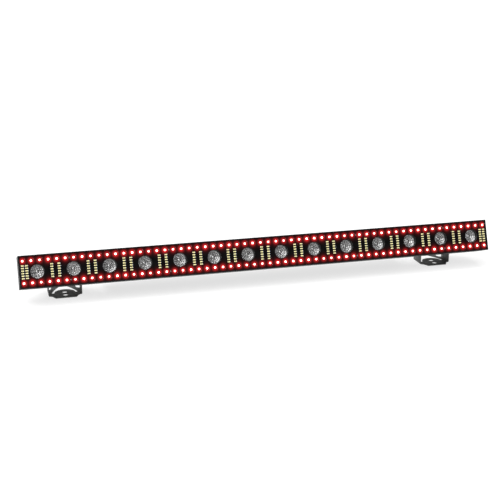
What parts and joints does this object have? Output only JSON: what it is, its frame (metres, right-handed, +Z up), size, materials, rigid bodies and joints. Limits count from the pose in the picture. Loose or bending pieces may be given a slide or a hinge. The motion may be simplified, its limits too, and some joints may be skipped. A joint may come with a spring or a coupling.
{
  "type": "led strip batten",
  "caption": "Long black led strip batten with recessed beam lenses, rows of pixel leds, strobe led columns, a rear cover with controls and sockets, and tilting floor brackets.",
  "frame": {"origin": "middle of the object's box, on the ground under the brackets", "axes": "+X along the bar to its right end, +Y from the front face to the rear, +Z up"},
  "size_m": [1, 0.1474, 0.1062],
  "materials": {
    "powder_coat": "extruded aluminium with a fine-textured black powder coat",
    "cover_coat": "sheet steel with a fine-textured black powder coat",
    "bracket_steel": "satin black painted sheet steel",
    "screw_steel": "zinc-plated steel",
    "pixel_board": "black solder mask with lit red pixel leds",
    "lens_well": "matt black moulded plastic",
    "lens_optic": "clear moulded optic with a facetted face",
    "beam_board": "white solder mask on an aluminium core",
    "aluminium": "bare extruded aluminium",
    "circuit_board": "green solder mask",
    "black_plastic": "fine-grained black moulding",
    "display_glass": "smoked acrylic window",
    "blue_plastic": "blue moulded nylon",
    "grey_plastic": "grey moulded nylon",
    "button_rubber": "dark grey button rubber",
    "nylon": "grey nylon"
  },
  "bodies": {
    "batten": {"housing_channel": "powder_coat", "end_cap_left": "powder_coat", "end_cap_right": "powder_coat", "end_cap_screw_left_1": "screw_steel", "end_cap_screw_left_2": "screw_steel", "end_cap_screw_left_3": "screw_steel", "end_cap_screw_left_4": "screw_steel", "end_cap_screw_right_1": "screw_steel", "end_cap_screw_right_2": "screw_steel", "end_cap_screw_right_3": "screw_steel", "end_cap_screw_right_4": "screw_steel", "pixel_board_left": "pixel_board", "pixel_board_right": "pixel_board", "lens_tray_left": "lens_well", "lens_tray_right": "lens_well", "beam_lens_01": "lens_optic", "beam_lens_02": "lens_optic", "beam_lens_03": "lens_optic", "beam_lens_04": "lens_optic", "beam_lens_05": "lens_optic", "beam_lens_06": "lens_optic", "beam_lens_07": "lens_optic", "beam_lens_08": "lens_optic", "beam_lens_09": "lens_optic", "beam_lens_10": "lens_optic", "beam_lens_11": "lens_optic", "beam_lens_12": "lens_optic", "beam_lens_13": "lens_optic", "beam_lens_14": "lens_optic", "beam_led_board_left": "beam_board", "beam_led_board_right": "beam_board", "led_carrier": "aluminium", "driver_board": "circuit_board", "control_board": "circuit_board", "power_supply": "aluminium", "rear_cover": "cover_coat", "control_panel": "black_plastic", "display_window": "display_glass", "data_in_socket": "black_plastic", "data_out_socket": "black_plastic", "power_in_socket": "blue_plastic", "power_out_socket": "grey_plastic", "pivot_block_left": "aluminium", "pivot_block_right": "aluminium", "pivot_bolt_left": "screw_steel", "pivot_bolt_right": "screw_steel", "friction_washer_left_inner": "nylon", "friction_washer_left_outer": "nylon", "friction_washer_right_inner": "nylon", "friction_washer_right_outer": "nylon"},
    "bracket_left": {"bracket_left": "bracket_steel"},
    "bracket_right": {"bracket_right": "bracket_steel"},
    "tilt_knob_left": {"tilt_knob_left": "black_plastic"},
    "tilt_knob_right": {"tilt_knob_right": "black_plastic"},
    "menu_button_1": {"menu_button_1": "button_rubber"},
    "menu_button_2": {"menu_button_2": "button_rubber"},
    "menu_button_3": {"menu_button_3": "button_rubber"},
    "menu_button_4": {"menu_button_4": "button_rubber"},
    "data_out_latch": {"data_out_latch": "grey_plastic"},
    "fuse_cap": {"fuse_cap": "black_plastic"}
  },
  "joints": [
    {"name": "bracket_tilt_left", "type": "hinge", "parent": "batten", "child": "bracket_left", "pos_m": [-0.4071, 0.01592, 0.047], "axis": [1, 0, 0], "range_deg": [-20, 160]},
    {"name": "bracket_tilt_right", "type": "hinge", "parent": "batten", "child": "bracket_right", "pos_m": [0.4071, 0.01592, 0.047], "axis": [1, 0, 0], "range_deg": [-20, 160]},
    {"name": "knob_turn_left", "type": "hinge", "parent": "batten", "child": "tilt_knob_left", "pos_m": [-0.4521, 0.01592, 0.047], "axis": [-1, 0, 0], "continuous": true},
    {"name": "knob_turn_right", "type": "hinge", "parent": "batten", "child": "tilt_knob_right", "pos_m": [0.4521, 0.01592, 0.047], "axis": [1, 0, 0], "continuous": true},
    {"name": "menu_button_1_press", "type": "slide", "parent": "batten", "child": "menu_button_1", "axis": [0, -0.9397, 0.342], "range_m": [0, 0.0008], "stiffness_N_per_m": 800, "springref_m": -0.0008},
    {"name": "menu_button_2_press", "type": "slide", "parent": "batten", "child": "menu_button_2", "axis": [0, -0.9397, 0.342], "range_m": [0, 0.0008], "stiffness_N_per_m": 800, "springref_m": -0.0008},
    {"name": "menu_button_3_press", "type": "slide", "parent": "batten", "child": "menu_button_3", "axis": [0, -0.9397, 0.342], "range_m": [0, 0.0008], "stiffness_N_per_m": 800, "springref_m": -0.0008},
    {"name": "menu_button_4_press", "type": "slide", "parent": "batten", "child": "menu_button_4", "axis": [0, -0.9397, 0.342], "range_m": [0, 0.0008], "stiffness_N_per_m": 800, "springref_m": -0.0008},
    {"name": "latch_press", "type": "slide", "parent": "batten", "child": "data_out_latch", "axis": [0, -0.9397, 0.342], "range_m": [0, 0.0015], "stiffness_N_per_m": 600, "springref_m": -0.0005},
    {"name": "fuse_cap_turn", "type": "hinge", "parent": "batten", "child": "fuse_cap", "pos_m": [-0.23, 0.04261, 0.03729], "axis": [0, 0.9397, -0.342], "range_deg": [-90, 0]}
  ]
}
